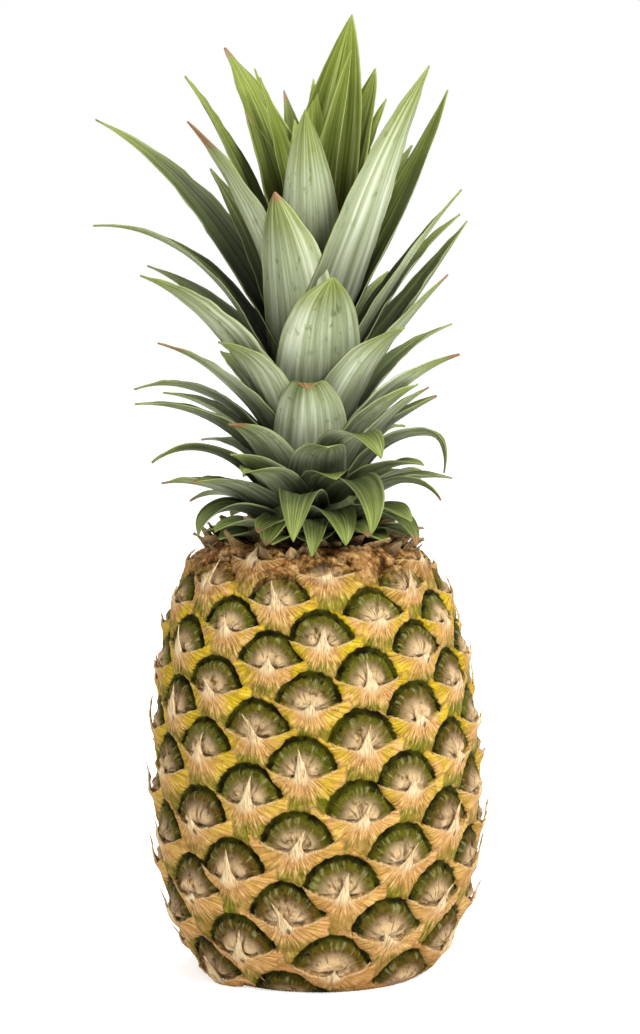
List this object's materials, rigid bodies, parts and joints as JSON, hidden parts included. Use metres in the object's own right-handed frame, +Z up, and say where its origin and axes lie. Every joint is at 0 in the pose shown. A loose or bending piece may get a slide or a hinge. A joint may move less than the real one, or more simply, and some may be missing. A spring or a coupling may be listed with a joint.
{
  "type": "pineapple",
  "caption": "Whole ripe pineapple standing on its cut base: barrel-shaped fruit with spiral rows of spined eyes, and a tall crown of channelled leaves.",
  "frame": {"origin": "centre of the flat resting face, on the end of the cut stalk", "axes": "+Z up along the fruit's axis, -Y towards the front seen in the picture, +X to its right"},
  "size_m": [0.1442, 0.1242, 0.3445],
  "materials": {
    "rind": "waxy, knobbly rind with papery bracts",
    "leaf": "tough leaf with a pale waxy bloom",
    "stalk_fibre": "dry cut fibres"
  },
  "bodies": {
    "root": {"fruit": "rind", "crown": "leaf", "stalk_stub": "stalk_fibre"}
  },
  "joints": []
}
